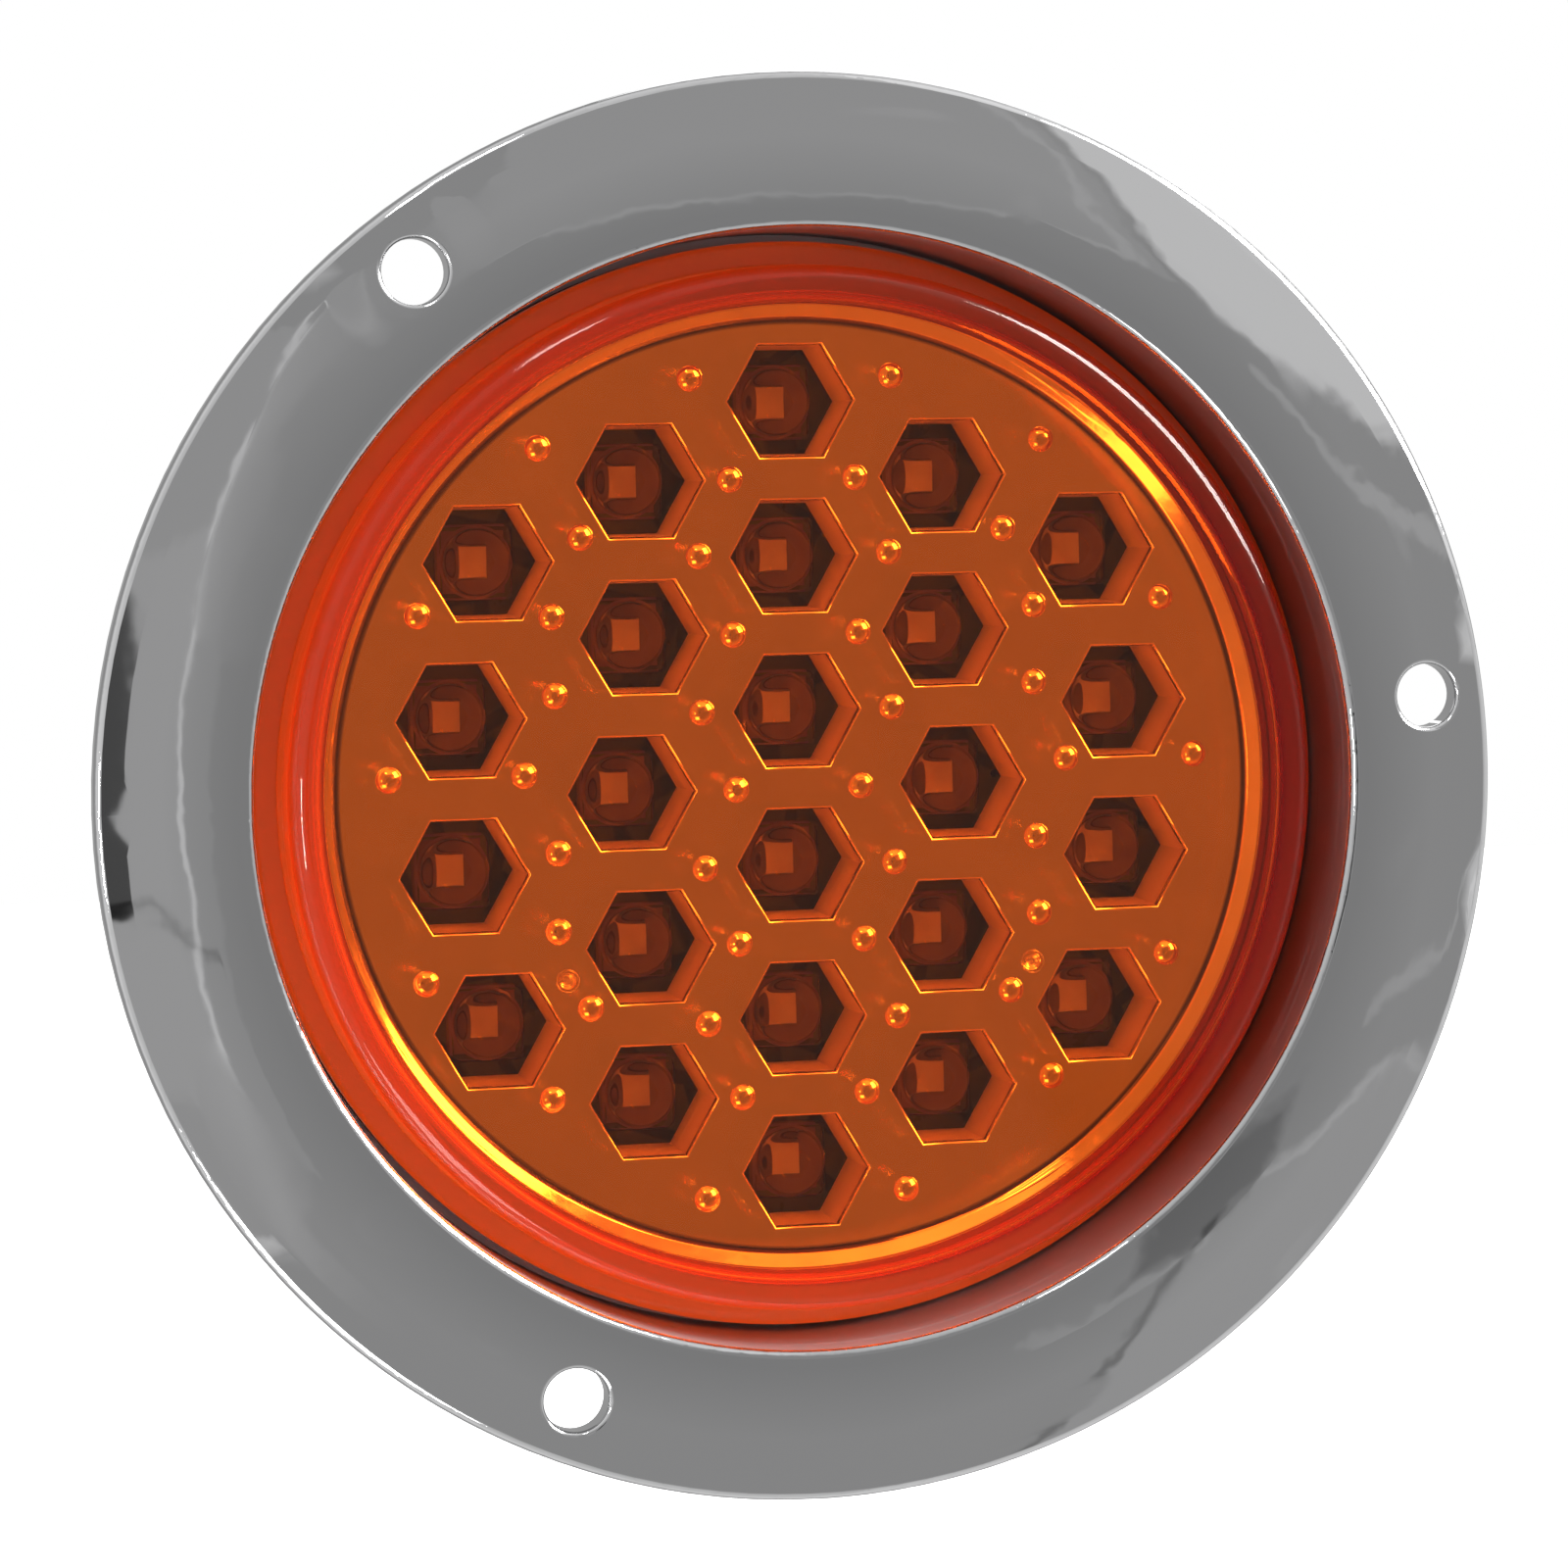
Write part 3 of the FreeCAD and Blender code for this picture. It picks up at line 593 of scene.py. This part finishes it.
def make_reflector():
    """The reflector: a plate with a raised rim, wells for the LEDs, small domes and two dimples."""
    low, high = size("reflector_plate")
    rim, front = high.x, low.y
    skirt = size("housing")[0].y
    well_back = size("led_01")[1].y - LED_BASE - WELL_GAP
    corners = [
        (FACE_RADIUS, FACE),
        (FACE_RADIUS + 0.2, FACE + GROOVE_DEPTH),
        (FACE_RADIUS + 0.6, FACE, 0.5),
        (rim - 0.3, front, 0.1),
        (rim, front, 0.12),
        (rim, skirt),
        (rim - SKIRT_WALL, skirt),
        (rim - SKIRT_WALL, FACE + PLATE_WALL, 0.2),
        (FACE_RADIUS, FACE + PLATE_WALL),
    ]
    turns = [math.tau * k / SEGMENTS for k in range(SEGMENTS)]
    rings = [[(r * math.cos(t), y, r * math.sin(t)) for t in turns] for r, y in profile(corners, 6)]
    plate = tool("plate", *loft(rings))
    outsides = []
    for x, z in LEDS:
        front_end = hexagon(MOUTH + 2 * WELL_WALL, FACE + PLATE_WALL / 2, x, z)
        back_end = hexagon(WELL_BACK + 2 * WELL_WALL, well_back, x, z)
        outsides.append(loft([front_end, back_end]))
    combine(plate, "UNION", tool("outsides", *merged(outsides)))
    domes = [ball(DOME_BALL, x, FACE + DOME_BALL - DOME_HEIGHT, z) for x, z in DOMES]
    combine(plate, "UNION", tool("domes", *merged(domes)))
    wells = [make_well(x, z, well_back) for x, z in LEDS]
    combine(plate, "DIFFERENCE", tool("wells", *merged(wells)))
    dimples = [ball(DIMPLE_BALL, x, FACE + DIMPLE_DEPTH - DIMPLE_BALL, z) for x, z in POSTS]
    combine(plate, "DIFFERENCE", tool("dimples", *merged(dimples)))
    plate.name = "reflector"
    finished(plate, "metallised_plastic", "reflector_plate")
    even = plate.modifiers.new("even_shading", "WEIGHTED_NORMAL")
    even.keep_sharp = True


DOME_RADIUS = 3.35
DOME_RISE = 3.0
DOME_WALL = 0.7          # height of the straight wall under the dome's cap
DOME_RINGS = 24
DOME_FOOT = [(0.04, 0.4), (0.14, 0.15), (0.34, 0)]     # how the wall flares: outwards, above the base
LED_SEGMENTS = 64
LED_CORNER = 0.3
LED_BEVEL = 0.25


def make_led(node):
    """One LED's clear moulding: a square base with soft edges, under a round dome."""
    low, high = size(node)
    x, z = (low.x + high.x) / 2, (low.z + high.z) / 2
    half, back = (high.x - low.x) / 2, high.y + SEAT
    body = high.y - LED_BASE
    turns = [math.tau * (k + 0.5) / LED_SEGMENTS for k in range(LED_SEGMENTS)]

    def square(reach, depth):
        points = []
        flat = reach - LED_CORNER
        for turn in turns:
            c, s = math.cos(turn), math.sin(turn)
            scale = min(flat / abs(c), flat / abs(s))
            points.append((x + scale * c + LED_CORNER * c, depth, z + scale * s + LED_CORNER * s))
        return points

    def circle(radius, depth):
        return [(x + radius * math.cos(t), depth, z + radius * math.sin(t)) for t in turns]

    shoulder = body - DOME_WALL
    cap = DOME_RISE - DOME_WALL
    rises = [math.radians(89 - 89 * k / DOME_RINGS) for k in range(DOME_RINGS + 1)]
    rings = [circle(DOME_RADIUS * math.cos(rise), shoulder - cap * math.sin(rise)) for rise in rises]
    rings += [circle(DOME_RADIUS + wider, body - above) for wider, above in DOME_FOOT]
    rings += [square(half - LED_BEVEL, body), square(half, body + LED_BEVEL), square(half, back)]
    finished(piece_from(node + "_moulding", *loft(rings)), "led_epoxy", node)


make_lens()
make_reflector()
for number in range(1, len(LEDS) + 1):
    make_led(f"led_{number:02d}")


# ---------------------------------------------------------------- light

def look_matrix(eye, target, up):
    """A camera's or light's place and turn, looking from eye at target."""
    back = (Vector(eye) - Vector(target)).normalized()
    right = Vector(up).cross(back).normalized()
    turned = Matrix((right, back.cross(right), back)).transposed().to_4x4()
    return Matrix.Translation(eye) @ turned


def direction(azimuth, elevation):
    """Unit vector towards a place: azimuth 0 is in front of the lamp, positive to the right."""
    a, e = math.radians(azimuth), math.radians(elevation)
    return Vector((math.sin(a) * math.cos(e), -math.cos(a) * math.cos(e), math.sin(e)))


LIGHT_DISTANCE = 1.2


def soft_light(name, azimuth, elevation, width, height, power, mirrored_too=True):
    """A rectangular light aimed at the lamp, seen in mirroring surfaces if mirrored_too."""
    lamp = bpy.data.lights.new(name, "AREA")
    lamp.shape = "RECTANGLE"
    lamp.size, lamp.size_y, lamp.energy = width, height, power
    holder = bpy.data.objects.new(name, lamp)
    bpy.context.scene.collection.objects.link(holder)
    eye = direction(azimuth, elevation) * LIGHT_DISTANCE
    holder.matrix_world = look_matrix(eye, (0, 0, 0), (0, 0, 1))
    holder.visible_camera = False
    holder.visible_glossy = mirrored_too


CENTRE = (13.5, -3.8)     # where the flat front of the lamp reflects to, azimuth and elevation in degrees
# Brightness of the room: degrees from CENTRE, and the grey there. Past both ends it's even.
WALL = [(115, 0.42), (88, 1.0), (50, 0.75), (33, 0.395)]
WAVINESS = 0.07           # how far the panels' edges wander

# Panels of the room that the chrome reflects, in degrees right of and above CENTRE: left, right, bottom and
# top edges, how much brighter than the wall, and how soft the edges are.
FAR = 70
PANELS = [
    (9.0, FAR, 10.8, FAR, 0.42, 0.6),
    (9.6, FAR, 8.1, 8.8, 0.12, 0.3),
    (7.0, 7.6, 11.5, FAR, 0.08, 0.3),
    (-9.0, 8.4, 11.3, FAR, 0.055, 0.3),
    (-8.0, 7.0, 11.3, 11.7, 0.08, 0.25),
    (-FAR, -16.0, -15.0, 15.5, 0.05, 0.4),
    (-16.5, -15.9, -15.0, 15.5, 0.28, 0.3),
    (-FAR, -12.4, -9.0, 8.0, 0.05, 0.4),
    (8.5, FAR, -FAR, -8.3, 0.07, 0.4),
    (7.9, 8.6, -FAR, -9.0, -0.14, 0.4),
    (9.5, FAR, -8.7, -8.0, 0.1, 0.3),
    (13.0, FAR, -5.5, -4.9, 0.1, 0.3),
    (3.6, 9.0, -10.8, -10.1, 0.08, 0.3),
    (4.8, 9.5, -9.8, -5.5, -0.15, 0.8),
    (-30.0, -21.4, -3.0, 9.0, -0.4, 0.3),
    (-23.0, -12.9, -2.9, -2.5, -0.16, 0.3),
]


def studio():
    """A grey wall in front of the lamp with panels and openings in it, and pale walls everywhere else."""
    world = bpy.data.worlds.new("studio")
    bpy.context.scene.world = world
    world.use_nodes = True
    tree = world.node_tree
    link = tree.links.new

    def vector(operation, source, value=None, scale=None):
        made = tree.nodes.new("ShaderNodeVectorMath")
        made.operation = operation
        link(source, made.inputs[0])
        if value is not None:
            made.inputs[1].default_value = value
        if scale is not None:
            made.inputs["Scale"].default_value = scale
        return made.outputs["Value" if operation == "DOT_PRODUCT" else "Vector"]

    place = tree.nodes.new("ShaderNodeTexCoord").outputs["Generated"]
    waves = tree.nodes.new("ShaderNodeTexNoise")
    waves.inputs["Scale"].default_value = 9
    waves.inputs["Detail"].default_value = 5
    link(place, waves.inputs["Vector"])
    bend = vector("SCALE", vector("SUBTRACT", waves.outputs["Color"], (0.5, 0.5, 0.5)), scale=WAVINESS)
    bent = tree.nodes.new("ShaderNodeVectorMath")
    link(place, bent.inputs[0])
    link(bend, bent.inputs[1])
    across, up = math.radians(CENTRE[0]), math.radians(CENTRE[1])
    right_axis = (math.cos(across), math.sin(across), 0)
    up_axis = (-math.sin(across) * math.sin(up), math.cos(across) * math.sin(up), math.cos(up))
    degree = 180 / math.pi
    columns = multiply(tree, vector("DOT_PRODUCT", bent.outputs[0], right_axis), degree)
    rows = multiply(tree, vector("DOT_PRODUCT", bent.outputs[0], up_axis), degree)
    ahead = vector("DOT_PRODUCT", place, direction(*CENTRE))
    wall = tree.nodes.new("ShaderNodeValToRGB")
    link(spread_to(tree, ahead, 0, 1, -1.0, 1.0), wall.inputs["Fac"])
    wall.color_ramp.elements.new(0.3)
    wall.color_ramp.elements.new(0.6)
    for element, (degrees, value) in zip(wall.color_ramp.elements, WALL):
        element.position = (math.cos(math.radians(degrees)) + 1) / 2
        element.color = (value, value, value, 1)
    total = wall.outputs["Color"]
    in_front = spread_to(tree, ahead, 0, 1, 0.2, 0.4)
    for left, right, bottom, top, gain, soft in PANELS:
        sides = [
            spread_to(tree, columns, 0, 1, left - soft / 2, left + soft / 2),
            spread_to(tree, columns, 1, 0, right - soft / 2, right + soft / 2),
            spread_to(tree, rows, 0, 1, bottom - soft / 2, bottom + soft / 2),
            spread_to(tree, rows, 1, 0, top - soft / 2, top + soft / 2),
        ]
        shown = in_front
        for side in sides:
            shown = multiply(tree, shown, side)
        total = add(tree, total, multiply(tree, shown, gain))
    total = operate(tree, "MAXIMUM", total, 0.01)
    path = tree.nodes.new("ShaderNodeLightPath")
    backdrop = blended(tree, path.outputs["Is Camera Ray"], total, (1.0, 1.0, 1.0))
    link(backdrop, tree.nodes["Background"].inputs["Color"])


studio()
soft_light("key_near", 55, 30, 0.38, 0.7, 22)
soft_light("key_far", 76, 30, 0.38, 0.7, 22)
soft_light("low", -34, -40, 0.5, 0.42, 5)
soft_light("high", -18, 47, 0.24, 0.1, 1.5)
soft_light("side", -46, -5, 0.045, 0.2, 2.8)
soft_light("above", 20, 62, 1.4, 1.0, 9, mirrored_too=False)
soft_light("rear", 150, 38, 0.9, 0.9, 3.2)


# ---------------------------------------------------------------- camera

TARGET = Vector((0, -0.4 * MM, 0))
ROLL = math.radians(1.203)
AZIMUTH, ELEVATION, DISTANCE = -13.041, 3.519, 0.48398     # where the camera stands, in degrees and metres
camera_data = bpy.data.cameras.new("camera")
camera_data.sensor_width = 36
camera_data.lens = 113.526
camera_data.shift_x = -0.0164875
camera_data.shift_y = 0.00390625
camera_data.clip_start = 0.01
camera = bpy.data.objects.new("camera", camera_data)
bpy.context.scene.collection.objects.link(camera)
eye = TARGET + direction(AZIMUTH, ELEVATION) * DISTANCE
camera.matrix_world = look_matrix(eye, TARGET, (math.sin(ROLL), 0, math.cos(ROLL)))
bpy.context.scene.camera = camera

# Light passes the lens and the LEDs on its way in and on its way out again, so its paths are long.
scene = bpy.context.scene
scene.cycles.max_bounces = 24
scene.cycles.glossy_bounces = 16
scene.cycles.transmission_bounces = 24
scene.view_settings.view_transform = "Standard"

FLOOR_SIZE, FLOOR_DROP = 6, 0.25
bpy.ops.mesh.primitive_plane_add(size=FLOOR_SIZE, location=(0, 0, -FLOOR_DROP))
floor = bpy.context.object
floor.name = "floor"
floor_finish, _, floor_shader = material("floor")
settle(floor_shader, Base_Color=(0.97, 0.97, 0.97), Roughness=0.9)
settle(floor_shader, Emission_Color=(1.0, 1.0, 1.0), Emission_Strength=0.62)
floor.data.materials.append(floor_finish)
floor.visible_glossy = False
floor.visible_transmission = False
